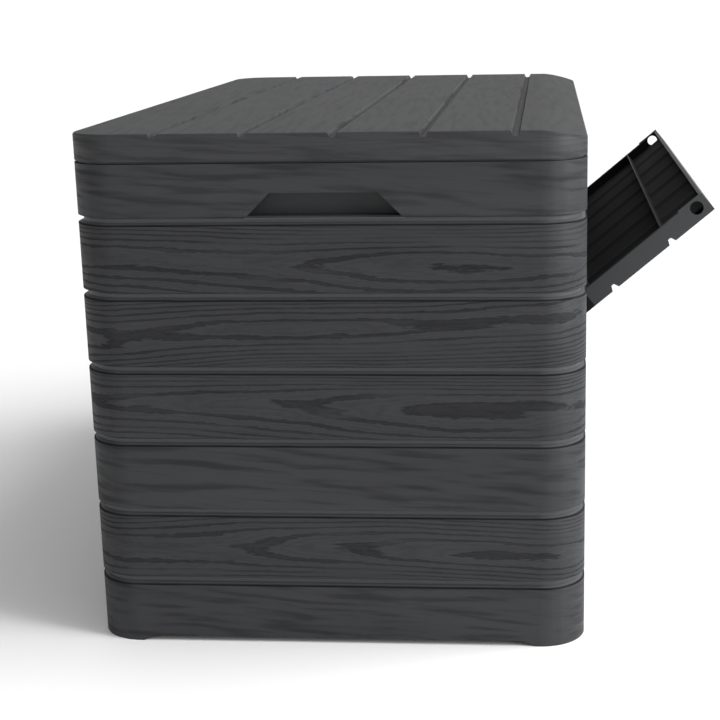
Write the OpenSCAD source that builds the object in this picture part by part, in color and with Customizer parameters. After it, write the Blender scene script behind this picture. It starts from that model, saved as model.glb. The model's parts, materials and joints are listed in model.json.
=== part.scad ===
// Deck storage box: a boarded resin box with a hinged planked lid held by two
// gas struts, and a front flap that folds down on a hinge and is locked shut
// by two slide bolts.
// X runs across the ends with the flap on +X, Y runs along the front, Z is up.
// The origin is on the ground, under the middle of the body.
// The lid is modelled shut and the flap open on its stops.

/* [Body] */
// Width across an end wall
body_w = 828; // [808:1:848]
// Length along the front wall
body_l = 1466; // [1446:1:1486]
// Radius of the four upright corners
corner_r = 74; // [70:1:78]
// Thickness of the wall skin
wall_t = 4.5; // [4:0.1:4.5]
// Height of the body's lower edge between its feet
foot_h = 9.6; // [8:0.1:11]

/* [Boards] */
// Height from one board to the next
board_pitch = 121.8; // [121:0.1:122]
// Number of boards up a wall
board_count = 7; // [7]
// Height of the lowest groove's lower edge
groove_z0 = 102; // [101:0.1:103]
// Height of a groove at the wall's face
groove_h = 13.5; // [11:0.1:14]
// Height of a groove at its bottom
groove_floor = 5.5; // [3:0.5:6]
// Depth of a groove
groove_d = 9; // [7:0.5:10]

/* [Handles] */
// Depth of the hand pocket in an end wall
pocket_d = 30; // [24:1:34]
// Width of the pocket along its top edge
pocket_top_w = 172; // [160:1:180]
// Width of the pocket along its bottom edge
pocket_bottom_w = 246; // [230:1:250]

/* [Lid] */
// Height of the lid
lid_h = 43.5; // [42:0.5:46]
// Gap between the body and the lid
lid_gap = 4; // [3.8:0.1:4.4]
// Distance from one plank groove to the next
plank_pitch = 142.4; // [141:0.1:144]
// Depth of a plank groove
plank_groove_d = 7.8; // [6:0.2:8]
// Widest angle of the open lid
lid_open = 80; // [60:1:80]

/* [Flap] */
// Length of the flap
flap_l = 1106; // [1080:1:1110]
// Depth of the flap's tray
flap_d = 33; // [30:1:33]
// Angle of the open flap from upright
flap_open = 50.1; // [40:0.1:55]
// Travel of a slide bolt
bolt_travel = 16; // [12:1:16]

/* [Struts] */
// Distance from the lid hinge to either end of a strut
strut_r = 250; // [246:1:252]
// Radius of a strut's cylinder
strut_tube_r = 9; // [8:0.5:9]

/* [Hidden] */
$fn = 72;
eps = 0.01;
resin = [0.20, 0.21, 0.22];
resin_dark = [0.10, 0.10, 0.11];
steel = [0.62, 0.63, 0.65];
rubber = [0.05, 0.05, 0.05];

// Body
half_w = body_w / 2;
half_l = body_l / 2;
corner_x = half_w - corner_r;
corner_y = half_l - corner_r;
top_board_h = 97.5;
body_h = groove_z0 + (board_count - 2) * board_pitch + top_board_h;
seam_y = corner_y - 30;
seam_gap = 0.2;
flange_w = 22;
flange_t = 4;
floor_z = 22;
floor_t = 4;
floor_rib_t = 3;
floor_rib_h = 12;
foot_slope = 22;
foot_pad_w = 30;
foot_arch_inset = 29;
centre_foot_r = 70;

// Board grooves: the skin keeps its thickness round each of them
grooves = [for (i = [0:board_count - 2]) groove_z0 + i * board_pitch];
groove_slope = (groove_h - groove_floor) / 2;
slope_len = sqrt(groove_d * groove_d + groove_slope * groove_slope);
function skin_shift(t) = t * (slope_len - groove_slope) / groove_d;

// Screws and their pilot holes
screw_r = 1.6;
pilot_r = 1.7;
pilot_d = 3;

// Corner keys: their reach along a wall and the places of their screws
key_y0 = seam_y - 23;
key_y1 = seam_y + 23;
key_d = 18;
key_screw_ys = [seam_y - 11, seam_y + 11];
key_screw_zs = [60, 285, 530, 760];

// Hand pocket
pocket_z0 = grooves[5] + groove_h + 1;
pocket_z1 = pocket_z0 + 36.8;
pocket_slope = 1.4;

// Front opening and flap, with the flap's shut position as its own frame
hinge_x = half_w;
hinge_z = 528.2;
flap_z0 = 551;
flap_z1 = 806;
flap_skin = 3.5;
flap_rim = 6;
flap_flange_t = 8;
flap_rib_z = flap_z1 - 88;
flap_liner_d = groove_d + flap_skin + seam_gap;
flap_liner_t = 2;
swage_count = 6;
swage_w = 64;
swage_h = 3.8;
swage_steps = 10;
strip_d = 20;
sill_z = 515;
opening_half = flap_l / 2 + 3;
jamb_t = 4;
jamb_d = 40;
knuckle_r = 5;
knuckle_relief = 0.8;
flap_pin_r = 2;
flap_knuckle_l = 50;
rail_knuckle_l = 30;
knuckle_gap = 0.5;
knuckle_ys = [-400, -200, 0, 200, 400];
heel_ys = [-300, -100, 100, 300];
running = 0.05;

// Slide bolts
bolt_r = 10.8;
bolt_gap = 0.2;
bolt_tab_w = 10;
bolt_x = half_w - 20.6;
bolt_z = flap_z1 - 21.7;
bolt_hole_r = 11.3;
housing_l = 44;
housing_y0 = opening_half + jamb_t + seam_gap;

// Lid
lid_z0 = body_h + lid_gap;
lid_z1 = lid_z0 + lid_h;
lid_edge_r = 4.5;
roll_w = corner_r;
roll_drop = 14.5;
roll_power = 1.4;
roll_steps = 12;
plank_x0 = -268;
plank_groove_w = 15;
plank_groove_floor = 8;
planks = [for (i = [0:4]) plank_x0 + i * plank_pitch];
liner_z = lid_z0 + 1.5;
liner_t = 3;
liner_inset = 5;
brace_xs = [planks[1] + plank_pitch / 2, planks[3] + plank_pitch / 2];
brace_size = 20;
lid_screw_xy = [for (x = [-330, -196, 88, 366], y = [-600, 0, 600]) [x, y]];

// Lid hinge
lid_axis_x = -half_w - 7;
lid_axis_z = body_h + 2;
lid_knuckle_r = 6.5;
lid_knuckle_l = 29;
lid_knuckle_relief = 0.5;
middle_knuckle_l = lid_knuckle_l + 2;
outer_knuckles = [-30.5, 30.5];
lid_pin_r = 3;
leaf_t = 3;
leaf_w = 90;
leaf_ys = [-480, 0, 480];
leaf_screw_dy = 30;
leaf_gap = 0.6;
wall_leaf_z0 = 765;
lid_leaf_z1 = 850;
wall_leaf_zs = [775, 793];
lid_leaf_zs = [825, 842];

// Struts: both ends sit at strut_r from the lid hinge, so each half turns by
// half the lid's angle. The angles are those of the ends below the lid hinge.
strut_wall_a = 68.75;
strut_lid_a = 2.75;
strut_y = half_l - 43;
wall_end = [lid_axis_x + strut_r * cos(strut_wall_a), lid_axis_z - strut_r * sin(strut_wall_a)];
lid_end = [lid_axis_x + strut_r * cos(strut_lid_a), lid_axis_z - strut_r * sin(strut_lid_a)];
strut_len = 2 * strut_r * sin((strut_wall_a - strut_lid_a) / 2);
strut_tilt = atan2(lid_end[1] - wall_end[1], lid_end[0] - wall_end[0]);
stud_r = 4;
stud_lip = 2.2;
eye_r = 8;
eye_w = 13.4;
eye_y0 = strut_y - eye_w / 2;
eye_y1 = strut_y + eye_w / 2;
tube_start = 12;
tube_end = 256;
gland_l = 10;
chamber_r = strut_tube_r - 1.4;
rod_r = 4;
rod_clear = 0.4;
rod_start = 26;
piston_r = chamber_r - 0.4;
piston_l = 8;

// ---- Shared shapes ----

// Outer edge of a boarded wall from z0 up to z1, with the wall's face at x = 0
function outer_line(z0, z1) = concat(
    [[0, z0]],
    [for (g = grooves) if (g > z0 && g + groove_h < z1) each [
        [0, g],
        [-groove_d, g + groove_slope],
        [-groove_d, g + groove_h - groove_slope],
        [0, g + groove_h]
    ]],
    [[0, z1]]
);

// Inner edge of the same wall from z1 down to z0, t behind its face
function inner_line(z0, z1, t) = concat(
    [[-t, z1]],
    [for (i = [len(grooves) - 1:-1:0]) let (g = grooves[i], k = skin_shift(t))
        if (g > z0 && g + groove_h < z1) each [
            [-t, g + groove_h + k],
            [-groove_d - t, g + groove_h - groove_slope + k],
            [-groove_d - t, g + groove_slope - k],
            [-t, g - k]
        ]],
    [[-t, z0]]
);

// Section of a body wall, with its top flange and the ledge for the floor
module wall_section(z0) {
    polygon(concat(outer_line(z0, body_h), inner_line(z0, body_h, wall_t)));
    translate([-flange_w, body_h - flange_t])
        square([flange_w - wall_t / 2, flange_t]);
    translate([-flange_w, floor_z - flange_t])
        square([flange_w - wall_t / 2, flange_t]);
}

// Extrudes an (x, z) section along Y from y0 to y1, its face at the front plane
module along_front(y0, y1) {
    translate([half_w, y1, 0])
        rotate([90, 0, 0])
            linear_extrude(height = y1 - y0)
                children();
}

// Solid rounded rectangle, inset from the body's outline
module rounded_block(inset, z0, z1) {
    r = corner_r - inset;
    translate([-corner_x, -half_l + inset, z0])
        cube([2 * corner_x, body_l - 2 * inset, z1 - z0]);
    translate([-half_w + inset, -corner_y, z0])
        cube([body_w - 2 * inset, 2 * corner_y, z1 - z0]);
    for (sx = [-1, 1], sy = [-1, 1])
        translate([sx * corner_x, sy * corner_y, z0])
            cylinder(r = r, h = z1 - z0);
}

// Cylinder along Y, centred at (x, y, z)
module rod_y(x, y, z, r, l) {
    translate([x, y, z])
        rotate([90, 0, 0])
            cylinder(r = r, h = l, center = true);
}

// Cylinder along X from x0 to x1
module rod_x(x0, x1, y, z, r) {
    translate([x0, y, z])
        rotate([0, 90, 0])
            cylinder(r = r, h = x1 - x0);
}

// Mirrors a far-end part to the near end
module near_end() {
    mirror([0, 1, 0])
        children();
}

// ---- Body ----

// Gap under a wall between its two feet, cut through along Y
module foot_arch(half) {
    rotate([90, 0, 0])
        linear_extrude(height = 2 * body_l, center = true)
            polygon([
                [-half - foot_slope, -1], [-half - foot_slope, 0], [-half, foot_h],
                [half, foot_h], [half + foot_slope, 0], [half + foot_slope, -1]
            ]);
}

// Outline of the hand pocket, grown by a margin
module pocket_outline(grow) {
    polygon([
        [-pocket_bottom_w / 2 - pocket_slope * grow, pocket_z0 - grow],
        [pocket_bottom_w / 2 + pocket_slope * grow, pocket_z0 - grow],
        [pocket_top_w / 2 + grow, pocket_z1 + grow],
        [-pocket_top_w / 2 - grow, pocket_z1 + grow]
    ]);
}

module pocket_block(grow, y0, y1) {
    translate([0, y1, 0])
        rotate([90, 0, 0])
            linear_extrude(height = y1 - y0)
                pocket_outline(grow);
}

module key_pilots() {
    for (sx = [-1, 1], sy = [-1, 1], y = key_screw_ys, z = key_screw_zs)
        translate([sx * (half_w - wall_t + pilot_d / 2), sy * y, z])
            rotate([0, 90, 0])
                cylinder(r = pilot_r, h = pilot_d, center = true);
}

module end_wall() {
    color(resin)
    difference() {
        union() {
            translate([-corner_x, half_l, 0])
                rotate([90, 0, 90])
                    linear_extrude(height = 2 * corner_x)
                        wall_section(0);
            for (side = [0, 1])
                mirror([side, 0, 0]) {
                    translate([corner_x, corner_y, 0])
                        rotate_extrude(angle = 90)
                            translate([corner_r, 0]) {
                                wall_section(0);
                                translate([-foot_pad_w, 0])
                                    square([foot_pad_w - wall_t / 2, flange_t]);
                            }
                    along_front(seam_y, corner_y)
                        wall_section(0);
                }
            pocket_block(wall_t, half_l - pocket_d - wall_t, half_l - wall_t / 2);
        }
        pocket_block(0, half_l - pocket_d, half_l + 1);
        foot_arch(corner_x - foot_arch_inset);
        rotate([0, 0, 90])
            foot_arch(corner_y - foot_arch_inset);
        key_pilots();
    }
}

module end_wall_far() {
    end_wall();
}

module end_wall_near() {
    near_end()
        end_wall();
}

module leaf_pilots(zs) {
    for (y = leaf_ys, dy = [-1, 1], z = zs)
        rod_x(-half_w - eps, -half_w + pilot_d, y + dy * leaf_screw_dy, z, pilot_r);
}

module long_wall() {
    along_front(-seam_y + seam_gap, seam_y - seam_gap)
        wall_section(foot_h);
}

module back_wall() {
    color(resin)
    difference() {
        mirror([1, 0, 0])
            long_wall();
        key_pilots();
        leaf_pilots(wall_leaf_zs);
    }
}

module front_wall() {
    color(resin)
    difference() {
        union() {
            difference() {
                long_wall();
                translate([half_w - flange_w - 1, -opening_half, sill_z])
                    cube([flange_w + 2, 2 * opening_half, body_h]);
            }
            // jambs of the opening
            for (y0 = [-opening_half - jamb_t, opening_half])
                along_front(y0, y0 + jamb_t)
                    polygon(concat(
                        outer_line(sill_z - jamb_t, body_h),
                        [[-jamb_d, body_h], [-jamb_d, sill_z - jamb_t]]
                    ));
            // sill
            translate([half_w - jamb_d, -opening_half - jamb_t, sill_z - jamb_t])
                cube([jamb_d - wall_t / 2, 2 * (opening_half + jamb_t), jamb_t]);
        }
        key_pilots();
        rod_y(bolt_x, 0, bolt_z, bolt_hole_r, body_l);
    }
}

// Floor with ribs beneath
module base_panel() {
    end_margin = 60;
    side_margin = 40;
    color(resin_dark) {
        rounded_block(liner_inset, floor_z, floor_z + floor_t);
        difference() {
            union() {
                for (x = [-260, -130, 130, 260])
                    translate([x - floor_rib_t / 2, -half_l + end_margin, floor_z - floor_rib_h])
                        cube([floor_rib_t, body_l - 2 * end_margin, floor_rib_h + eps]);
                for (y = [-500:250:500])
                    translate([-half_w + side_margin, y - floor_rib_t / 2, floor_z - floor_rib_h])
                        cube([body_w - 2 * side_margin, floor_rib_t, floor_rib_h + eps]);
            }
            cylinder(r = centre_foot_r + seam_gap, h = floor_z);
        }
    }
}

// Hollow foot that holds the middle of the floor up off the ground
module centre_foot() {
    color(resin_dark)
    difference() {
        cylinder(r = centre_foot_r, h = floor_z);
        translate([0, 0, floor_t])
            cylinder(r = centre_foot_r - floor_rib_t, h = floor_z);
    }
}

// The wall's inner edge from the bottom up
function key_line(t) =
    let (l = inner_line(foot_h, body_h, t)) [for (i = [len(l) - 1:-1:0]) l[i]];

// Upright blocks that join the walls at the four corners
module corner_keys() {
    t = wall_t + seam_gap;
    color(resin_dark)
    for (sx = [0, 1], sy = [0, 1])
        mirror([sx, 0, 0]) mirror([0, sy, 0])
            difference() {
                along_front(key_y0, key_y1)
                    polygon(concat(
                        [[-key_d, floor_z + floor_t + 1], [-t, floor_z + floor_t + 1]],
                        [for (i = [1:len(key_line(t)) - 2]) key_line(t)[i]],
                        [[-t, body_h - flange_t - 1], [-key_d, body_h - flange_t - 1]]
                    ));
                for (y = key_screw_ys, z = key_screw_zs)
                    rod_x(half_w - key_d - 1, half_w, y, z, screw_r + 0.6);
            }
}

// Pan-head screw along +X, its head's underside at x = 0
module screw_x(l, head_r, head_h) {
    rotate([0, 90, 0]) {
        cylinder(r = screw_r, h = l);
        translate([0, 0, -head_h])
            cylinder(r = head_r, h = head_h);
    }
}

module panel_screws() {
    color(steel)
    for (sx = [0, 1], sy = [-1, 1], y = key_screw_ys, z = key_screw_zs)
        mirror([sx, 0, 0])
            translate([half_w - key_d, sy * y, z])
                screw_x(key_d - wall_t + pilot_d - 0.3, 4, 2.2);
}

// ---- Lid hinge ----

// One hinge half: a leaf from z0 to z1 with knuckles at the given places
module hinge_leaf(z0, z1, knuckle_at, knuckle_l, clear_at, clear_l, zs) {
    difference() {
        union() {
            translate([-half_w - leaf_t, -leaf_w / 2, z0])
                cube([leaf_t, leaf_w, z1 - z0]);
            for (y = knuckle_at)
                rod_y(lid_axis_x, y, lid_axis_z, lid_knuckle_r, knuckle_l);
        }
        for (y = clear_at)
            rod_y(lid_axis_x, y, lid_axis_z, lid_knuckle_r + lid_knuckle_relief, clear_l);
        rod_y(lid_axis_x, 0, lid_axis_z, lid_pin_r + running, leaf_w + 1);
        for (dy = [-1, 1], z = zs)
            rod_x(-half_w - leaf_t - 1, -half_w + 1, dy * leaf_screw_dy, z, screw_r + 0.5);
    }
}

module lid_hinge_wall_leaves() {
    color(steel)
    for (y = leaf_ys)
        translate([0, y, 0])
            hinge_leaf(wall_leaf_z0, lid_axis_z, outer_knuckles, lid_knuckle_l,
                [0], middle_knuckle_l + 1, wall_leaf_zs);
}

module lid_hinge_lid_leaves() {
    color(steel)
    for (y = leaf_ys)
        translate([0, y, 0])
            hinge_leaf(lid_axis_z + leaf_gap, lid_leaf_z1, [0], middle_knuckle_l,
                outer_knuckles, lid_knuckle_l + 5, lid_leaf_zs);
}

module lid_hinge_pins() {
    end_l = 2;
    cap_l = 3;
    cap_lip = 1.2;
    color(steel)
    for (y = leaf_ys) {
        rod_y(lid_axis_x, y, lid_axis_z, lid_pin_r, leaf_w + 2 * end_l);
        for (s = [-1, 1])
            rod_y(lid_axis_x, y + s * (leaf_w / 2 + end_l), lid_axis_z, lid_pin_r + cap_lip, cap_l);
    }
}

module leaf_screws(zs) {
    for (y = leaf_ys, dy = [-1, 1], z = zs)
        translate([-half_w - leaf_t, y + dy * leaf_screw_dy, z])
            screw_x(leaf_t + pilot_d - 0.3, 3.6, 2);
}

module lid_hinge_wall_screws() {
    color(steel)
    leaf_screws(wall_leaf_zs);
}

module lid_hinge_lid_screws() {
    color(steel)
    leaf_screws(lid_leaf_zs);
}

// ---- Struts, drawn at the far end ----

// Plate on the end wall with a shouldered stud through the cylinder's eye
module strut_wall_bracket() {
    plate_t = 4;
    plate_w = 34;
    plate_h = 40;
    plate_y = half_l - wall_t - seam_gap;
    above = 8;
    stud_out = 3;
    collar_gap = 0.4;
    clip_w = 3.2;
    color(steel)
    union() {
        translate([wall_end[0] - above, plate_y - plate_t, wall_end[1] + above - plate_h])
            cube([plate_w, plate_t, plate_h]);
        rod_y(wall_end[0], (plate_y + eye_y0 - stud_out) / 2, wall_end[1],
            stud_r, plate_y - eye_y0 + stud_out);
        rod_y(wall_end[0], (plate_y + eye_y1 + collar_gap) / 2, wall_end[1],
            eye_r - 1, plate_y - eye_y1 - collar_gap);
        rod_y(wall_end[0], eye_y0 - 2, wall_end[1], stud_r + stud_lip, clip_w);
    }
}

module strut_wall_bracket_far() {
    strut_wall_bracket();
}

module strut_wall_bracket_near() {
    near_end()
        strut_wall_bracket();
}

// Plate under the lid's liner with a lug and a stud through the rod's eye
module strut_lid_bracket() {
    lug_y = eye_y0 - 5.5;
    plate_l = 60;
    plate_w = 34;
    plate_back = 14;
    stud_out = 3;
    color(steel)
    union() {
        translate([lid_end[0] - plate_l / 2, lug_y - plate_back, liner_z - leaf_t])
            cube([plate_l, plate_w, leaf_t]);
        round_lug(lug_y);
        rod_y(lid_end[0], (lug_y + eye_y1 + stud_out) / 2, lid_end[1],
            stud_r, eye_y1 + stud_out - lug_y);
        rod_y(lid_end[0], eye_y1 + 2, lid_end[1], stud_r + stud_lip, stud_out);
    }
}

// Lug with a round lower end
module round_lug(y) {
    w = 20;
    t = 4;
    translate([lid_end[0] - w / 2, y, lid_end[1]])
        cube([w, t, liner_z - lid_end[1] - leaf_t / 2]);
    rod_y(lid_end[0], y + t / 2, lid_end[1], w / 2, t);
}

module strut_lid_bracket_far() {
    strut_lid_bracket();
}

module strut_lid_bracket_near() {
    near_end()
        strut_lid_bracket();
}

// Puts a shape drawn along +Z from an eye at the origin onto the strut's line
module on_strut() {
    translate([wall_end[0], strut_y, wall_end[1]])
        rotate([0, 90 - strut_tilt, 0])
            children();
}

module eye(z) {
    translate([0, 0, z])
        rotate([90, 0, 0])
            cylinder(r = eye_r, h = eye_w, center = true);
}

module eye_bore(z) {
    translate([0, 0, z])
        rotate([90, 0, 0])
            cylinder(r = stud_r + running, h = eye_w + 1, center = true);
}

module strut_cylinder() {
    neck_r = 5;
    base_t = 3;
    color(resin_dark)
    on_strut()
        difference() {
            union() {
                eye(0);
                cylinder(r = neck_r, h = tube_start + 1);
                translate([0, 0, tube_start])
                    cylinder(r = strut_tube_r, h = tube_end - tube_start);
            }
            eye_bore(0);
            translate([0, 0, tube_start + base_t])
                cylinder(r = chamber_r, h = tube_end - tube_start - base_t - gland_l);
            translate([0, 0, tube_start + base_t])
                cylinder(r = rod_r + rod_clear, h = tube_end);
        }
}

module strut_rod() {
    color(steel)
    on_strut()
        difference() {
            union() {
                eye(strut_len);
                translate([0, 0, rod_start])
                    cylinder(r = rod_r, h = strut_len - rod_start - 2);
                translate([0, 0, rod_start])
                    cylinder(r = piston_r, h = piston_l);
            }
            eye_bore(strut_len);
        }
}

module strut_cylinder_far() {
    strut_cylinder();
}

module strut_cylinder_near() {
    near_end()
        strut_cylinder();
}

module strut_rod_far() {
    strut_rod();
}

module strut_rod_near() {
    near_end()
        strut_rod();
}

// ---- Lid ----

// Upright section of the lid's edge: face at x = 0, rounded at the top
module lid_edge_section(depth) {
    arc = [for (a = [0:15:90]) [-lid_edge_r, lid_z1 - lid_edge_r] + lid_edge_r * [cos(a), sin(a)]];
    polygon(concat([[-depth, lid_z0], [0, lid_z0]], arc, [[-depth, lid_z1]]));
}

module lid_block() {
    translate([-half_w + 30, -corner_y, lid_z0])
        cube([body_w - 60, 2 * corner_y, lid_h]);
    for (side = [0, 1]) {
        mirror([side, 0, 0])
            along_front(-corner_y, corner_y)
                lid_edge_section(corner_r);
        mirror([0, side, 0])
            translate([-corner_x, half_l, 0])
                rotate([90, 0, 90])
                    linear_extrude(height = 2 * corner_x)
                        lid_edge_section(corner_r);
    }
    for (sx = [0, 1], sy = [0, 1])
        mirror([sx, 0, 0]) mirror([0, sy, 0])
            translate([corner_x, corner_y, 0])
                rotate_extrude(angle = 90)
                    translate([corner_r, 0])
                        lid_edge_section(corner_r);
}

// Plank grooves, grown all round by a margin
module plank_grooves(grow, half_len) {
    top = lid_z1 + 1;
    for (x = planks)
        translate([x, half_len, 0])
            rotate([90, 0, 0])
                linear_extrude(height = 2 * half_len)
                    polygon([
                        [-plank_groove_w / 2 - grow, top],
                        [-plank_groove_w / 2 - grow, lid_z1 + eps],
                        [-plank_groove_floor / 2 - grow, lid_z1 - plank_groove_d - grow],
                        [plank_groove_floor / 2 + grow, lid_z1 - plank_groove_d - grow],
                        [plank_groove_w / 2 + grow, lid_z1 + eps],
                        [plank_groove_w / 2 + grow, top]
                    ]);
}

// Space over the lid's front plank, which curves down to the front edge. The
// curve lies t below the lid's top, and ends in a rounded edge.
module front_roll(t) {
    r = lid_edge_r;
    edge_a = 75;
    end_s = roll_w - r + r * cos(edge_a);
    curve = [for (i = [0:roll_steps]) let (s = i * end_s / roll_steps)
        [half_w - roll_w + s, lid_z1 - t - roll_drop * pow(s / roll_w, roll_power)]];
    last = curve[roll_steps];
    centre = last - r * [cos(edge_a), sin(edge_a)];
    along_y = half_l + 1;
    translate([0, along_y, 0])
        rotate([90, 0, 0])
            linear_extrude(height = 2 * along_y)
                polygon(concat(
                    [[half_w + 1, lid_z1 + 1], [half_w - roll_w, lid_z1 + 1]],
                    curve,
                    [for (a = [edge_a - 15:-15:0]) centre + r * [cos(a), sin(a)]],
                    [[half_w + 1, centre[1]]]
                ));
}

module lid_shell() {
    boss_r = 6;
    boss_bore = 13;
    boss_z = liner_z + liner_t;
    color(resin)
    difference() {
        lid_block();
        difference() {
            rounded_block(wall_t, lid_z0 - 1, lid_z1 - wall_t);
            plank_grooves(wall_t, half_l);
            front_roll(wall_t);
            for (p = lid_screw_xy)
                translate([p[0], p[1], boss_z])
                    difference() {
                        cylinder(r = boss_r, h = lid_h);
                        translate([0, 0, -1])
                            cylinder(r = pilot_r, h = boss_bore + 1);
                    }
        }
        plank_grooves(0, half_l + 1);
        front_roll(0);
        leaf_pilots(lid_leaf_zs);
    }
}

module lid_liner() {
    rib_t = 3;
    rib_top = lid_z1 - plank_groove_d - wall_t - 0.2;
    rib_margin = 40;
    lip = 3;
    lip_z = body_h + 0.5;
    color(resin_dark)
    difference() {
        union() {
            rounded_block(liner_inset, lip_z, liner_z + liner_t);
            for (x = planks)
                translate([x - rib_t / 2, -half_l + rib_margin, liner_z])
                    cube([rib_t, body_l - 2 * rib_margin, rib_top - liner_z]);
        }
        rounded_block(liner_inset + lip, lip_z - 1, liner_z);
        for (p = lid_screw_xy)
            translate([p[0], p[1], lip_z])
                cylinder(r = screw_r + 0.5, h = 20);
    }
}

module lid_brace_bars() {
    wall = 1.2;
    l = 1340;
    color(steel)
    for (x = brace_xs)
        translate([x, 0, liner_z + liner_t + brace_size / 2])
            difference() {
                cube([brace_size, l, brace_size], center = true);
                cube([brace_size - 2 * wall, l + 1, brace_size - 2 * wall], center = true);
            }
}

module lid_screws() {
    color(steel)
    for (p = lid_screw_xy)
        translate([p[0], p[1], liner_z])
            rotate([0, -90, 0])
                screw_x(12, 4.2, 2.2);
}

module lid_bumpers() {
    inset = 15;
    r = 5;
    gap = 0.1;
    places = [
        [half_w - inset, -590], [half_w - inset, 590], [-half_w + inset, -590],
        [-half_w + inset, 590], [0, half_l - inset], [0, -half_l + inset]
    ];
    color(rubber)
    for (p = places)
        translate([p[0], p[1], body_h + gap])
            cylinder(r = r, h = liner_z - body_h - gap);
}

// ---- Flap, drawn shut and swung open about its hinge ----

module swing_open() {
    translate([hinge_x, 0, hinge_z])
        rotate([0, flap_open, 0])
            translate([-hinge_x, 0, -hinge_z])
                children();
}

module front_flap() {
    half = flap_l / 2;
    boss_h = 50;
    boss_d = 2.2;
    color(resin)
    swing_open()
        difference() {
            union() {
                along_front(-half, half)
                    polygon(concat(outer_line(flap_z0, flap_z1), inner_line(flap_z0, flap_z1, flap_skin)));
                for (y0 = [-half, half - flap_flange_t]) {
                    along_front(y0, y0 + flap_flange_t)
                        polygon(concat(
                            outer_line(flap_z0, flap_z1),
                            [[-flap_d, flap_z1], [-flap_d, flap_z0]]
                        ));
                    translate([half_w - flap_d - boss_d, y0, flap_z1 - boss_h])
                        cube([boss_d + 1, flap_flange_t, boss_h]);
                }
                translate([half_w - flap_d, -half, flap_z1 - flap_rim])
                    cube([flap_d, flap_l, flap_rim]);
                translate([half_w - flap_d, -half, flap_z0])
                    cube([flap_d, flap_l, flap_skin]);
            }
            rod_y(bolt_x, 0, bolt_z, bolt_hole_r, flap_l + 2);
        }
}

// One face of the flap's liner, from end to end over its swages
function liner_line(depth, half) = concat(
    [[half_w - depth, -half]],
    [for (i = [1:swage_count], k = [0:swage_steps]) [
        half_w - depth - swage_h * (1 - cos(360 * k / swage_steps)) / 2,
        -flap_l / 2 + i * flap_l / (swage_count + 1) + (k / swage_steps - 0.5) * swage_w
    ]],
    [[half_w - depth, half]]
);

// Inner skin of the flap, with soft swages across it and one rib along it
module flap_liner() {
    half = flap_l / 2 - flap_flange_t - seam_gap;
    z0 = flap_z0 + flap_skin + seam_gap;
    z1 = flap_z1 - flap_rim - seam_gap;
    face_d = flap_liner_d + flap_liner_t;
    far_line = liner_line(face_d, half);
    rib_t = 2.6;
    rib_d = flap_d - 1;
    notch_l = 12;
    color(resin_dark)
    swing_open()
        difference() {
            union() {
                translate([0, 0, z0])
                    linear_extrude(height = z1 - z0)
                        polygon(concat(
                            liner_line(flap_liner_d, half),
                            [for (i = [len(far_line) - 1:-1:0]) far_line[i]]
                        ));
                translate([half_w - rib_d, -half, flap_rib_z - rib_t / 2])
                    cube([rib_d - flap_liner_d - flap_liner_t / 2, 2 * half, rib_t]);
            }
            for (s = [-1, 1])
                rod_y(bolt_x, s * (half + seam_gap), bolt_z, bolt_hole_r + 1, notch_l);
        }
}

// Black strip that joins the flap to its hinge, with knuckles and stop heels
module flap_hinge_strip() {
    u = [cos(90 - flap_open), sin(90 - flap_open)];
    n = [u[1], -u[0]];
    a = [hinge_x, hinge_z];
    strip_gap = 0.4;
    heel_w = 24;
    heel_drop = 16;
    heel_t = 4.5;
    heel_reach = 14;
    color(resin_dark) {
        difference() {
            union() {
                swing_open()
                    difference() {
                        translate([half_w - strip_d, -flap_l / 2, hinge_z + strip_gap])
                            cube([strip_d, flap_l, flap_z0 - hinge_z - strip_gap]);
                        for (y = knuckle_ys, s = [-1, 1])
                            rod_y(hinge_x, y + s * (flap_knuckle_l + rail_knuckle_l + 2 * knuckle_gap) / 2,
                                hinge_z, knuckle_r + knuckle_relief, rail_knuckle_l + knuckle_gap);
                    }
                for (y = knuckle_ys)
                    rod_y(hinge_x, y, hinge_z, knuckle_r, flap_knuckle_l);
                for (y = heel_ys)
                    translate([0, y + heel_w / 2, 0])
                        rotate([90, 0, 0])
                            linear_extrude(height = heel_w)
                                polygon([
                                    a + [0.25, -heel_drop], a + [heel_t, -heel_drop],
                                    a + heel_reach * u + 4 * n, a + heel_reach * u - 3 * n,
                                    a + 2 * u - n
                                ]);
            }
            for (y = knuckle_ys)
                rod_y(hinge_x, y, hinge_z, flap_pin_r + running, flap_knuckle_l + 2 * rail_knuckle_l);
        }
    }
}

// Strip on the sill with the fixed knuckles
module flap_hinge_rail() {
    color(resin_dark)
    difference() {
        union() {
            translate([half_w - strip_d, -flap_l / 2, sill_z])
                cube([strip_d, flap_l, hinge_z - 0.2 - sill_z]);
            for (y = knuckle_ys, s = [-1, 1])
                rod_y(hinge_x, y + s * (flap_knuckle_l + rail_knuckle_l + 2 * knuckle_gap) / 2,
                    hinge_z, knuckle_r, rail_knuckle_l);
        }
        for (y = knuckle_ys) {
            rod_y(hinge_x, y, hinge_z, knuckle_r + knuckle_relief, flap_knuckle_l + knuckle_gap);
            rod_y(hinge_x, y, hinge_z, flap_pin_r + running, 200);
        }
    }
}

module flap_hinge_pins() {
    color(steel)
    for (y = knuckle_ys)
        rod_y(hinge_x, y, hinge_z, flap_pin_r, flap_knuckle_l + 2 * rail_knuckle_l);
}

// ---- Slide bolts, drawn at the far end ----

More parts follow.
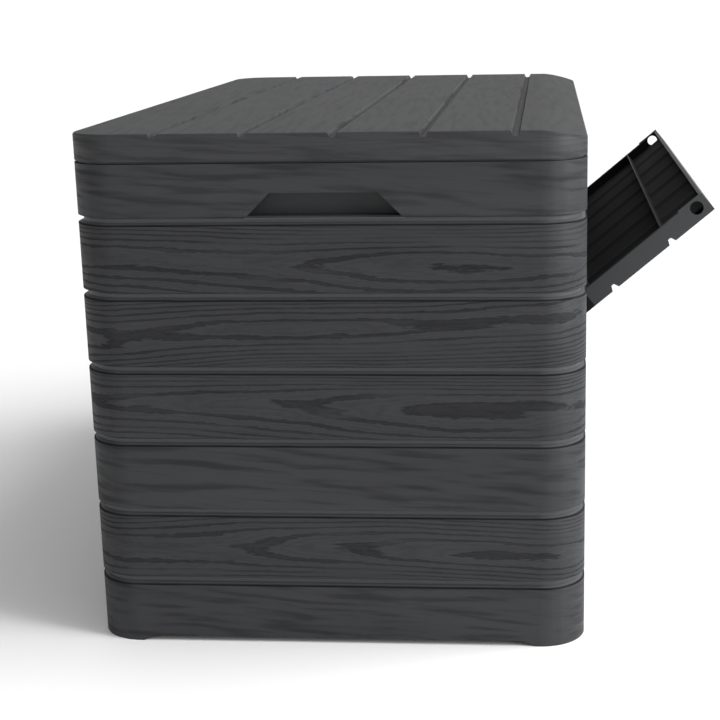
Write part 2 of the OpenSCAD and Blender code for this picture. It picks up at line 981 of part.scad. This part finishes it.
module bolt_housing() {
    w = 32;
    back = 16;
    wall_gap = 0.3;
    slot_y0 = housing_y0 + 1.5;
    slot_w = bolt_tab_w + 2;
    color(resin_dark)
    difference() {
        translate([bolt_x - back, housing_y0, bolt_z - w / 2])
            cube([half_w - wall_t - wall_gap - bolt_x + back, housing_l, w]);
        rod_y(bolt_x, housing_y0 + housing_l / 2, bolt_z, bolt_r + bolt_gap, housing_l + 1);
        translate([bolt_x - back - 1, slot_y0, bolt_z - slot_w / 2])
            cube([back, bolt_travel + bolt_tab_w + 4, slot_w]);
    }
}

module bolt_housing_far() {
    bolt_housing();
}

module bolt_housing_near() {
    near_end()
        bolt_housing();
}

module flap_bolt() {
    l = 42;
    tip = 3;
    tab_d = 27;
    tab_l = 20;
    y0 = opening_half + 1;
    color(rubber)
    union() {
        rod_y(bolt_x, y0 + tip + (l - tip) / 2, bolt_z, bolt_r, l - tip);
        translate([bolt_x, y0, bolt_z])
            rotate([-90, 0, 0])
                cylinder(r1 = bolt_r - 2, r2 = bolt_r, h = tip + eps);
        translate([bolt_x - tab_d, housing_y0 + bolt_travel + 3.5, bolt_z - bolt_tab_w / 2])
            cube([tab_l, bolt_tab_w, bolt_tab_w]);
    }
}

module flap_bolt_far() {
    flap_bolt();
}

module flap_bolt_near() {
    near_end()
        flap_bolt();
}

base_panel();
centre_foot();
end_wall_near();
end_wall_far();
back_wall();
front_wall();
corner_keys();
panel_screws();
lid_hinge_wall_leaves();
lid_hinge_pins();
lid_hinge_wall_screws();
strut_wall_bracket_near();
strut_wall_bracket_far();
flap_hinge_rail();
flap_hinge_pins();
bolt_housing_near();
bolt_housing_far();
lid_shell();
lid_liner();
lid_brace_bars();
lid_screws();
lid_bumpers();
lid_hinge_lid_leaves();
lid_hinge_lid_screws();
strut_lid_bracket_near();
strut_lid_bracket_far();
front_flap();
flap_liner();
flap_hinge_strip();
flap_bolt_near();
flap_bolt_far();
strut_cylinder_near();
strut_cylinder_far();
strut_rod_near();
strut_rod_far();
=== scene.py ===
"""Looks of the deck storage box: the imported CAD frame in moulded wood-grain resin, with black hinge parts
and gas struts, on a pale floor."""

import json
import math

import bpy
from mathutils import Matrix, Vector


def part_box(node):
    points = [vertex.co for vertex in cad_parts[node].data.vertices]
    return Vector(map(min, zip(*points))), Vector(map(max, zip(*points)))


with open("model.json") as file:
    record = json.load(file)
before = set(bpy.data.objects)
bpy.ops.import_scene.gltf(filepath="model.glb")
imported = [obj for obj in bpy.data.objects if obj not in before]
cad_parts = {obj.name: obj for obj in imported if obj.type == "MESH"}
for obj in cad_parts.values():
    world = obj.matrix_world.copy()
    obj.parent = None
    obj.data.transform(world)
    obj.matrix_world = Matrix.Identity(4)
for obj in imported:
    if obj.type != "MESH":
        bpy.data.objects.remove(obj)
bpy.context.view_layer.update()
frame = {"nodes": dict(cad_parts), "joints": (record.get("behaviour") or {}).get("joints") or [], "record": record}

MM = 0.001
NODES = frame["nodes"]
FLAP_HINGE = next(j for j in frame["joints"] if j["name"] == "flap_hinge")
BOX_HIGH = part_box("lid_shell")[1]
HALF_W = BOX_HIGH.x
HALF_L = BOX_HIGH.y
LID_TOP = BOX_HIGH.z
BODY_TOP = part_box("end_wall_near")[1].z

# The boards of the walls: the lower edge of the lowest groove, the pitch, and the grooves' section
GROOVE_Z0 = 102 * MM
BOARD_PITCH = 121.8 * MM
GROOVE_H = 13.5 * MM
GROOVE_FLOOR = 5.5 * MM
GROOVE_D = 9 * MM

# The planks of the lid, and half the height that the grain on its edge is drawn for
PLANK_X0 = -268 * MM
PLANK_PITCH = 142.4 * MM
LID_EDGE_HALF = 30 * MM

# The body's corner radius seen from above
CORNER_R = 74 * MM

# The flap when it is shut
FLAP_HALF_L = 553 * MM
FLAP_HALF_H = 127.5 * MM
FLAP_MID_Z = 678.5 * MM
FLAP_D = 33 * MM
FLAP_RIB_D = 32 * MM


# ---- Node graph helpers ----


class Graph:
    """A short way to write a node tree: a call adds a node or a few, and returns the output."""

    def __init__(self, tree):
        self.tree = tree

    def node(self, kind, **settings):
        made = self.tree.nodes.new(kind)
        for key, value in settings.items():
            setattr(made, key, value)
        return made

    def put(self, value, socket):
        """Links an output to a socket, or sets the socket to a plain value."""
        if isinstance(value, bpy.types.NodeSocket):
            self.tree.links.new(value, socket)
        else:
            socket.default_value = value

    def fill(self, made, values, keys=(0, 1, 2, 3, 4)):
        """Puts the values on the node's inputs of those keys, and returns its first output."""
        for value, key in zip(values, keys):
            self.put(value, made.inputs[key])
        return made.outputs[0]

    def math(self, operation, *values):
        return self.fill(self.node("ShaderNodeMath", operation=operation), values)

    def add(self, a, b):
        return self.math("ADD", a, b)

    def sub(self, a, b):
        return self.math("SUBTRACT", a, b)

    def mul(self, a, b):
        return self.math("MULTIPLY", a, b)

    def swing(self, noise, size):
        """How far a noise lies from its mean, times size."""
        return self.mul(self.sub(noise, 0.5), size)

    def ramp(self, x, low, high, out_low=0.0, out_high=1.0):
        """Goes smoothly from out_low at low to out_high at high."""
        made = self.node("ShaderNodeMapRange", interpolation_type="SMOOTHSTEP")
        return self.fill(made, (x, low, high, out_low, out_high))

    def vector(self, x, y, z):
        return self.fill(self.node("ShaderNodeCombineXYZ"), (x, y, z))

    def split(self, vector):
        made = self.node("ShaderNodeSeparateXYZ")
        self.put(vector, made.inputs[0])
        return made.outputs

    def noise(self, vector, scale=1.0, detail=2.0, rough=0.5):
        made = self.node("ShaderNodeTexNoise")
        return self.fill(made, (vector, scale, detail, rough), ("Vector", "Scale", "Detail", "Roughness"))

    def mix(self, factor, a, b):
        """a where factor is 0, b where it is 1."""
        return self.fill(self.node("ShaderNodeMix", data_type="FLOAT"), (factor, a, b), (0, 2, 3))

    def colours(self, factor, stops):
        """A colour ramp through (place, (r, g, b)) stops."""
        made = self.node("ShaderNodeValToRGB")
        elements = made.color_ramp.elements
        while len(elements) < len(stops):
            elements.new(0.5)
        for element, (place, rgb) in zip(elements, stops):
            element.position = place
            element.color = (*rgb, 1)
        return self.fill(made, [factor])

    def bump(self, height, distance, strength):
        made = self.node("ShaderNodeBump")
        return self.fill(made, (height, distance, strength), ("Height", "Distance", "Strength"))


def new_material(name, specular=0.5, metallic=0.0):
    """A material with one Principled shader. Returns (material, graph, shader)."""
    material = bpy.data.materials.new(name)
    material.use_nodes = True
    tree = material.node_tree
    shader = next(n for n in tree.nodes if n.type == "BSDF_PRINCIPLED")
    shader.inputs["Metallic"].default_value = metallic
    shader.inputs["Specular IOR Level"].default_value = specular
    return material, Graph(tree), shader


def surface(g, shader, colour, roughness, relief):
    """Links the shader's colour and roughness, and its relief, a (height, distance, strength)."""
    g.put(colour, shader.inputs["Base Color"])
    g.put(roughness, shader.inputs["Roughness"])
    g.put(g.bump(*relief), shader.inputs["Normal"])


def object_axes(g):
    """The x, y and z of a point, in the CAD's frame and as it lies at rest."""
    return g.split(g.node("ShaderNodeTexCoord").outputs["Object"])


def paint(names, material):
    for name in names:
        NODES[name].data.materials.clear()
        NODES[name].data.materials.append(material)


# ---- Wood-grain resin ----

# The resin's colours by tone. Tone 0 is a dark line of the grain and 1 its palest; painted light on grooves and on
# the flap's rim goes beyond 1, and painted shade goes down towards black
BLACK = (0.0035, 0.0035, 0.0038)
DARK = (0.0120, 0.0124, 0.0135)
MID = (0.0250, 0.0258, 0.0277)
LIGHT = (0.0400, 0.0412, 0.0435)
# The palest colour, reached only by painted light on grooves and on the flap's rim
PALE_PAINTED_LIGHT = (0.0850, 0.0870, 0.0910)
RESIN_COLOURS = [(-0.4, BLACK), (0.0, DARK), (0.55, MID), (1.0, LIGHT), (1.4, PALE_PAINTED_LIGHT)]
LOW_TONE = -0.4
TONE_SPAN = 2.0

GRAIN_TONE = 0.68
FOOT_TONE = 0.05  # added to the lowest board
# Painted light: grooves are made this pale, to look as lit as their upward lower slope
GROOVE_PAINTED_LIGHT = 1.28
# Painted shade: this much is taken off in a dark line along each groove's shaded lower crease
GROOVE_PAINTED_SHADE = 0.9  # taken off along a groove's lower edge
FLAT_TONE = 0.82
# Painted light: the tone the flap's rim and back edges are made pale to
RIM_PAINTED_LIGHT = 1.30
# Painted highlight: the tone along the top of the liner's rib
RIB_PAINTED_HIGHLIGHT = 0.85
HIDDEN_TONE = 0.80
# Painted shade: the tone the flap's inside is darkened to, near black
INSIDE_PAINTED_SHADE = -0.35

# The boards are numbered from -1 at the ground, and these are streaked and hardly have contour lines
SOFT_BOARDS = (-1, 1, 5)
SOFT_FIGURE = 0.06

# The lid's grain is faint: on top it varies little about its own tone
LID_FIGURE = 0.25
LID_TOP_TONE = 0.49
LID_TOP_CONTRAST = 0.25
LID_TOP_SEED = 20.0
LID_EDGE_SEED = 31.0
MEAN_TONE = 0.63

# How densely the grain's contour lines lie, and the step from one board's pattern to the next one's
RING_COUNT = 8.5
THIN_COUNT = 34.0
PATTERN_STEP = 7.31


def grain(g, along, across, half, seed, figure):
    """Tone of a board's wood grain, and its fine fibre. along and across are metres on the board, half its
    half width, seed its number, and figure how strong its contour lines are, 0 to 1."""
    place = g.mul(seed, PATTERN_STEP)

    def cells(per_along, per_across, shift, detail=2.0, rough=0.5, side=across):
        """A noise with so many cells to the metre, along the board and across it."""
        point = g.vector(g.mul(along, per_along), g.mul(side, per_across), g.add(place, shift))
        return g.noise(point, detail=detail, rough=rough)

    # Contour lines: the level lines of a bowl whose middle wanders along the board
    wander = g.noise(g.vector(g.mul(along, 0.8), place, 3.1), detail=1.0)
    offset = g.sub(g.math("DIVIDE", across, half), g.swing(wander, 1.9))
    bowl = g.mul(g.mul(offset, offset), 0.62)
    swell = g.mul(cells(1.4, 7.0, 0.0, detail=1.0, rough=0.4), 0.85)
    wobble = g.mul(cells(9.0, 50.0, 5.0), 0.09)
    ragged = g.mul(cells(60.0, 420.0, 8.0), 0.040)
    depth = g.add(g.add(bowl, swell), g.add(wobble, ragged))
    band = g.ramp(g.math("PINGPONG", g.mul(depth, RING_COUNT), 0.5), 0.29, 0.40)
    thin = g.ramp(g.math("PINGPONG", g.mul(depth, THIN_COUNT), 0.5), 0.20, 0.45)
    lines = g.mul(band, g.ramp(cells(4.0, 40.0, 9.0, detail=3.0), 0.25, 0.50))

    # Soft streaks that run a little aslant
    slant = g.add(across, g.add(g.mul(along, 0.06), g.mul(cells(3.0, 12.0, 4.0, detail=1.0), 0.03)))
    soft = g.mul(g.ramp(cells(7.5, 85.0, 2.0, detail=2.5, side=slant), 0.44, 0.68), 0.44)

    contours = g.add(g.add(g.mul(lines, 0.46), g.mul(thin, 0.16)), g.mul(soft, 0.20))
    cloud = cells(2.2, 11.0, 1.0)
    fibre = cells(26.0, 620.0, 0.0)
    tone = g.sub(g.add(GRAIN_TONE, g.swing(cloud, 0.35)), g.mix(figure, soft, contours))
    return g.add(tone, g.swing(fibre, 0.18)), fibre


def figure_of(g, number):
    """How strong the contour lines of a board are, by its number."""
    soft = 0.0
    for board in SOFT_BOARDS:
        soft = g.add(soft, g.math("COMPARE", number, float(board), 0.1))
    return g.mix(soft, 1.0, SOFT_FIGURE)


def board_resin(name, along, hidden, flap=False):
    """Resin of a boarded wall. along gives the distance along the boards and hidden how far a point lies behind
    the wall's face, both from its x and y. Behind the face the resin is plain; on the flap it gets painted shade
    instead, with painted light on its back edges."""
    material, g, shader = new_material(name, specular=0.22)
    x, y, z = object_axes(g)
    if flap:
        x, z = shut_flap(g, x, z)
    board = g.math("DIVIDE", g.sub(z, GROOVE_Z0), BOARD_PITCH)
    number = g.math("FLOOR", board)
    inside = g.mul(g.math("FRACT", board), BOARD_PITCH)
    across = g.sub(inside, (BOARD_PITCH + GROOVE_H) / 2)
    tone, fibre = grain(g, along(g, x, y), across, BOARD_PITCH / 2, g.add(number, 1.0), figure_of(g, number))
    tone = g.add(tone, g.ramp(number, -1.0, 1.0, FOOT_TONE, 0.0))
    tone = groove_light_and_shade(g, tone, inside)
    back = hidden(g, x, y)
    behind = g.ramp(g.sub(back, groove_depth(g, inside)), 1.2 * MM, 1.8 * MM)
    # On the flap, painted shade darkens the inside and painted light pales the rim and back edges
    if flap:
        tone = flap_tones(g, tone, behind, back, y, z)
    else:
        tone = g.mix(behind, tone, HIDDEN_TONE)
    finish_resin(g, shader, tone, fibre)
    return material


def groove_light_and_shade(g, tone, inside):
    """Makes the groove pale as painted light, with a dark line of painted shade along its lower edge. inside is
    the height above that edge, within one pitch."""
    # Painted light: the groove's faces are made pale, as their lit lower slope would look
    groove = g.mul(g.ramp(inside, 0.8 * MM, 2 * MM), g.ramp(inside, GROOVE_H - 0.5 * MM, GROOVE_H - 2.5 * MM))
    # Painted shade: a dark line just above and just below the groove's lower edge, where the crease lies in shade
    over = g.ramp(inside, 1.4 * MM, 0.3 * MM)
    under = g.ramp(inside, BOARD_PITCH - 2.0 * MM, BOARD_PITCH - 0.7 * MM)
    return g.sub(g.mix(groove, tone, GROOVE_PAINTED_LIGHT), g.mul(g.math("MAXIMUM", over, under), GROOVE_PAINTED_SHADE))


def groove_depth(g, inside):
    """How far back the wall's outer face lies at a height inside one board's pitch."""
    slope = (GROOVE_H - GROOVE_FLOOR) / 2
    low = g.ramp(inside, 0.0, slope, 0.0, GROOVE_D)
    high = g.ramp(inside, GROOVE_H, GROOVE_H - slope, 0.0, GROOVE_D)
    return g.math("MINIMUM", low, high)


def flap_tones(g, tone, behind, back, y, z):
    """Darkens the flap's inside to black as painted shade, makes its rim and its back edges pale as painted light,
    and its end flanges plain.
    """
    end = at_face(g, g.math("ABSOLUTE", y), FLAP_HALF_L)
    # Painted light: the rim's faces at the flap's top and bottom are made pale
    rim = at_face(g, g.math("ABSOLUTE", g.sub(z, FLAP_MID_Z)), FLAP_HALF_H)
    # Painted shade on the flap's inside, near black, with painted light on its back edges at full depth
    inner = g.ramp(back, FLAP_D - 0.8 * MM, FLAP_D - 0.3 * MM, INSIDE_PAINTED_SHADE, RIM_PAINTED_LIGHT)
    return g.mix(end, g.mix(rim, g.mix(behind, tone, inner), RIM_PAINTED_LIGHT), FLAT_TONE)


def at_face(g, distance, face):
    """1 where the distance from a middle plane reaches that of a face, 0 from 0.8 mm before."""
    return g.ramp(distance, face - 0.8 * MM, face - 0.4 * MM)


def finish_resin(g, shader, tone, fibre):
    """Colour, roughness and relief of the resin, from its tone and fibre."""
    level = g.add(-LOW_TONE / TONE_SPAN, g.mul(tone, 1 / TONE_SPAN))
    stops = [((place - LOW_TONE) / TONE_SPAN, colour) for place, colour in RESIN_COLOURS]
    roughness = g.ramp(tone, -0.2, 0.8, 0.90, 0.54)
    height = g.add(tone, g.mul(fibre, 0.25))
    surface(g, shader, g.colours(level, stops), roughness, (height, 0.35 * MM, 0.7))


def shut_flap(g, x, z):
    """The x and z that a point of the open flap has when the flap is shut."""
    turn = math.radians(max(FLAP_HINGE["range_deg"]))
    hinge = Vector(FLAP_HINGE["pos_m"])
    dx = g.sub(x, hinge.x)
    dz = g.sub(z, hinge.z)
    shut_x = g.sub(g.mul(dx, math.cos(turn)), g.mul(dz, math.sin(turn)))
    shut_z = g.add(g.mul(dx, math.sin(turn)), g.mul(dz, math.cos(turn)))
    return g.add(shut_x, hinge.x), g.add(shut_z, hinge.z)


def round_ends(g, x, y):
    """Along an end wall: across its face, then back round each corner."""
    return g.add(x, g.mul(g.math("SIGN", x), g.sub(HALF_L, g.math("ABSOLUTE", y))))


def along_y(g, x, y):
    """Along a long wall."""
    return y


def behind_outline(g, x, y):
    """Distance in from the body's rounded outline, seen from above."""
    past_x = g.sub(g.math("ABSOLUTE", x), HALF_W - CORNER_R)
    past_y = g.sub(g.math("ABSOLUTE", y), HALF_L - CORNER_R)
    out_x, out_y = (g.math("MAXIMUM", past, 0.0) for past in (past_x, past_y))
    corner = g.math("SQRT", g.add(g.mul(out_x, out_x), g.mul(out_y, out_y)))
    flat = g.math("MINIMUM", g.math("MAXIMUM", past_x, past_y), 0.0)
    return g.sub(CORNER_R, g.add(corner, flat))


def behind_front(g, x, y):
    """Distance in from the plane of the front wall's face."""
    return g.sub(HALF_W, x)


def lid_resin():
    """Resin of the lid: faint grain along the planks on top, and round the edge as on the walls' boards."""
    material, g, shader = new_material("lid_resin", specular=0.32)
    coords = g.node("ShaderNodeTexCoord")
    x, y, z = g.split(coords.outputs["Object"])
    on_top = g.ramp(g.split(coords.outputs["Normal"])[2], 0.55, 0.65)
    plank = g.math("DIVIDE", g.sub(x, PLANK_X0), PLANK_PITCH)
    across = g.sub(g.mul(g.math("FRACT", plank), PLANK_PITCH), PLANK_PITCH / 2)
    seed = g.add(g.math("FLOOR", plank), LID_TOP_SEED)
    top, top_fibre = grain(g, y, across, PLANK_PITCH / 2, seed, LID_FIGURE)
    top = g.add(LID_TOP_TONE, g.mul(g.sub(top, MEAN_TONE), LID_TOP_CONTRAST))
    height = g.sub(z, (BODY_TOP + LID_TOP) / 2)
    edge, edge_fibre = grain(g, round_ends(g, x, y), height, LID_EDGE_HALF, LID_EDGE_SEED, LID_FIGURE)
    finish_resin(g, shader, g.mix(on_top, edge, top), g.mix(on_top, edge_fibre, top_fibre))
    return material


def liner_resin():
    """Resin of the flap's liner, near black as painted shade, with a painted highlight along the top of its rib.
    """
    material, g, shader = new_material("liner_resin", specular=0.15)
    x, y, z = object_axes(g)
    x, z = shut_flap(g, x, z)
    point = g.vector(x, y, z)
    # Painted highlight along the top of the rib; elsewhere painted shade keeps the liner near black
    lit_crest = g.ramp(g.sub(HALF_W, x), FLAP_RIB_D - 1.2 * MM, FLAP_RIB_D - 0.5 * MM)
    cloud = g.noise(point, scale=6.0, detail=3.0)
    tone = g.mix(lit_crest, g.ramp(cloud, 0.3, 0.7, -0.08, 0.02), RIB_PAINTED_HIGHLIGHT)
    finish_resin(g, shader, tone, g.noise(point, scale=700.0))
    return material


# ---- Plain materials ----

INNER_GREY = (0.030, 0.031, 0.033)
PLASTIC_BLACK = (0.0055, 0.0055, 0.006)
RUBBER_BLACK = (0.012, 0.012, 0.012)
PAINT_BLACK = (0.012, 0.012, 0.013)
ZINC = (0.52, 0.53, 0.55)
CHROME = (0.72, 0.73, 0.75)
BRUSH_MARKS = (40.0, 40.0, 900.0)  # to the metre, along x, y and z


def moulded(name, colour, roughness, spread=0.25, specular=0.4):
    """Plain moulded plastic or rubber: a fine texture, with cloudy roughness and slightly worn tone."""
    material, g, shader = new_material(name, specular=specular)
    place = g.node("ShaderNodeTexCoord").outputs["Object"]
    cloud = g.noise(place, scale=7.0, detail=4.0)
    dark = tuple(c * (1 - spread) for c in colour)
    light = tuple(c * (1 + spread) for c in colour)
    tint = g.colours(cloud, [(0.3, dark), (0.7, light)])
    rough = g.ramp(cloud, 0.3, 0.7, roughness - 0.06, roughness + 0.06)
    surface(g, shader, tint, rough, (g.noise(place, scale=900.0), 0.12 * MM, 0.5))
    return material


def metal(name, colour, roughness):
    """Plated or polished steel with fine brush marks and cloudy plating."""
    material, g, shader = new_material(name, metallic=1.0)
    x, y, z = object_axes(g)
    marks = g.noise(g.vector(*(g.mul(v, count) for v, count in zip((x, y, z), BRUSH_MARKS))), detail=3.0)
    cloud = g.noise(g.vector(x, y, z), scale=30.0, detail=3.0)
    dark = tuple(c * 0.82 for c in colour)
    tint = g.colours(cloud, [(0.35, dark), (0.65, colour)])
    rough = g.ramp(marks, 0.3, 0.7, roughness - 0.07, roughness + 0.09)
    surface(g, shader, tint, rough, (marks, 0.04 * MM, 0.5))
    return material


# ---- Edges ----

# The width of the rounding on each node whose edges are softened
EDGE_WIDTHS = {
    "end_wall_near": 1.1 * MM,
    "end_wall_far": 1.1 * MM,
    "front_wall": 1.1 * MM,
    "back_wall": 1.1 * MM,
    "front_flap": 0.5 * MM,
    "lid_shell": 2.0 * MM,
}
SHARP_DEG = 25


def soften(name, width):
    """Rounds a CAD node's sharp edges a little, as a moulding has them."""
    node = NODES[name]
    weld = node.modifiers.new("weld", "WELD")
    weld.merge_threshold = 0.02 * MM
    bevel = node.modifiers.new("bevel", "BEVEL")
    bevel.width = width
    bevel.segments = 3
    bevel.limit_method = "ANGLE"
    bevel.angle_limit = math.radians(SHARP_DEG)
    bevel.harden_normals = True
    bevel.use_clamp_overlap = True


# ---- Assembly ----


def dress():
    paint(["end_wall_near", "end_wall_far"], board_resin("board_resin_end", round_ends, behind_outline))
    paint(["front_wall", "back_wall"], board_resin("board_resin_long", along_y, behind_outline))
    paint(["front_flap"], board_resin("board_resin_flap", along_y, behind_front, flap=True))
    paint(["flap_liner"], liner_resin())
    paint(["lid_shell"], lid_resin())
    inner = moulded("inner_resin", INNER_GREY, 0.6, spread=0.10)
    paint(["base_panel", "centre_foot", "corner_keys", "lid_liner"], inner)
    black = moulded("black_plastic", PLASTIC_BLACK, 0.6, specular=0.12)
    paint([n for n in NODES if "bolt" in n or n in ("flap_hinge_rail", "flap_hinge_strip")], black)
    paint(["lid_bumpers"], moulded("rubber", RUBBER_BLACK, 0.8))
    by_slot = {
        "zinc_steel": metal("zinc_steel", ZINC, 0.42),
        "strut_paint": moulded("strut_paint", PAINT_BLACK, 0.35),
        "strut_chrome": metal("strut_chrome", CHROME, 0.14),
    }
    for part in frame["record"]["subparts"]:
        if part["material_slot"] in by_slot:
            paint([part["node"]], by_slot[part["material_slot"]])
    for name, width in EDGE_WIDTHS.items():
        soften(name, width)


# ---- Stage, light and camera ----

FLOOR_SIZE = 600
FLOOR_GREY = (0.88, 0.88, 0.88, 1)
FLOOR_ROUGHNESS = 0.6

# The world's strength is full up to the horizon's height, and goes from the back to the front above its fade
HORIZON = 0.20
HORIZON_FADE = 0.27
BACK_STRENGTH = 0.29
FRONT_STRENGTH = 0.95

KEY_PLACE = (3.0, 0.0, 3.2)
KEY_STRENGTH = 2.5
KEY_WIDTH_DEG = 45

RIM_PLACE = (2.6, -1.7, 1.3)
RIM_TARGET = (0.41, -0.7, 0.5)
RIM_SIZE = (0.6, 2.2)
RIM_POWER = 60

LENS = 76.015
SHIFT_X = -0.09
EYE_PLACE = (0.3492, -3.0870, 1.0789)
EYE_TURN_DEG = 4.710
EYE_DOWN_DEG = 13.940
EYE_ROLL_DEG = -1.032


def lay_floor():
    bpy.ops.mesh.primitive_plane_add(size=FLOOR_SIZE, location=(0, 0, 0))
    floor = bpy.context.object
    floor.name = "floor"
    material, _, shader = new_material("floor", specular=0.2)
    shader.inputs["Base Color"].default_value = FLOOR_GREY
    shader.inputs["Roughness"].default_value = FLOOR_ROUGHNESS
    floor.data.materials.append(material)


def studio():
    """A world that is white near the horizon and, above it, dimmer at the box's back than at its front."""
    world = bpy.data.worlds.new("studio")
    world.use_nodes = True
    g = Graph(world.node_tree)
    side, _, up = g.split(g.node("ShaderNodeTexCoord").outputs["Generated"])
    background = world.node_tree.nodes["Background"]
    background.inputs["Color"].default_value = (1, 1, 1, 1)
    low = g.ramp(up, HORIZON_FADE, HORIZON)
    high = g.ramp(side, -1.0, 1.0, BACK_STRENGTH, FRONT_STRENGTH)
    g.put(g.mix(low, high, 1.0), background.inputs["Strength"])
    bpy.context.scene.world = world
    bpy.context.scene.view_settings.view_transform = "Standard"


def aim(light, place, target):
    light.location = place
    light.rotation_euler = (Vector(target) - Vector(place)).to_track_quat("-Z", "Y").to_euler()
    bpy.context.scene.collection.objects.link(light)


def key_light():
    """A distant light so wide that its shadows fade out softly."""
    data = bpy.data.lights.new("key", "SUN")
    data.energy = KEY_STRENGTH
    data.angle = math.radians(KEY_WIDTH_DEG)
    aim(bpy.data.objects.new("key", data), KEY_PLACE, (0, 0, 0))


def rim_light():
    """A panel that brightens the near right corner."""
    data = bpy.data.lights.new("rim", "AREA")
    data.shape = "RECTANGLE"
    data.size, data.size_y = RIM_SIZE
    data.energy = RIM_POWER
    aim(bpy.data.objects.new("rim", data), RIM_PLACE, RIM_TARGET)


def camera():
    data = bpy.data.cameras.new("camera")
    data.sensor_width = 36
    data.lens = LENS
    data.shift_x = SHIFT_X
    data.clip_end = 1000
    eye = bpy.data.objects.new("camera", data)
    turn = Matrix.Rotation(math.radians(EYE_TURN_DEG), 4, "Z")
    tilt = Matrix.Rotation(math.radians(90 - EYE_DOWN_DEG), 4, "X")
    roll = Matrix.Rotation(math.radians(EYE_ROLL_DEG), 4, "Z")
    eye.matrix_world = Matrix.Translation(EYE_PLACE) @ turn @ tilt @ roll
    bpy.context.scene.collection.objects.link(eye)
    bpy.context.scene.camera = eye


camera()
dress()
lay_floor()
studio()
key_light()
rim_light()
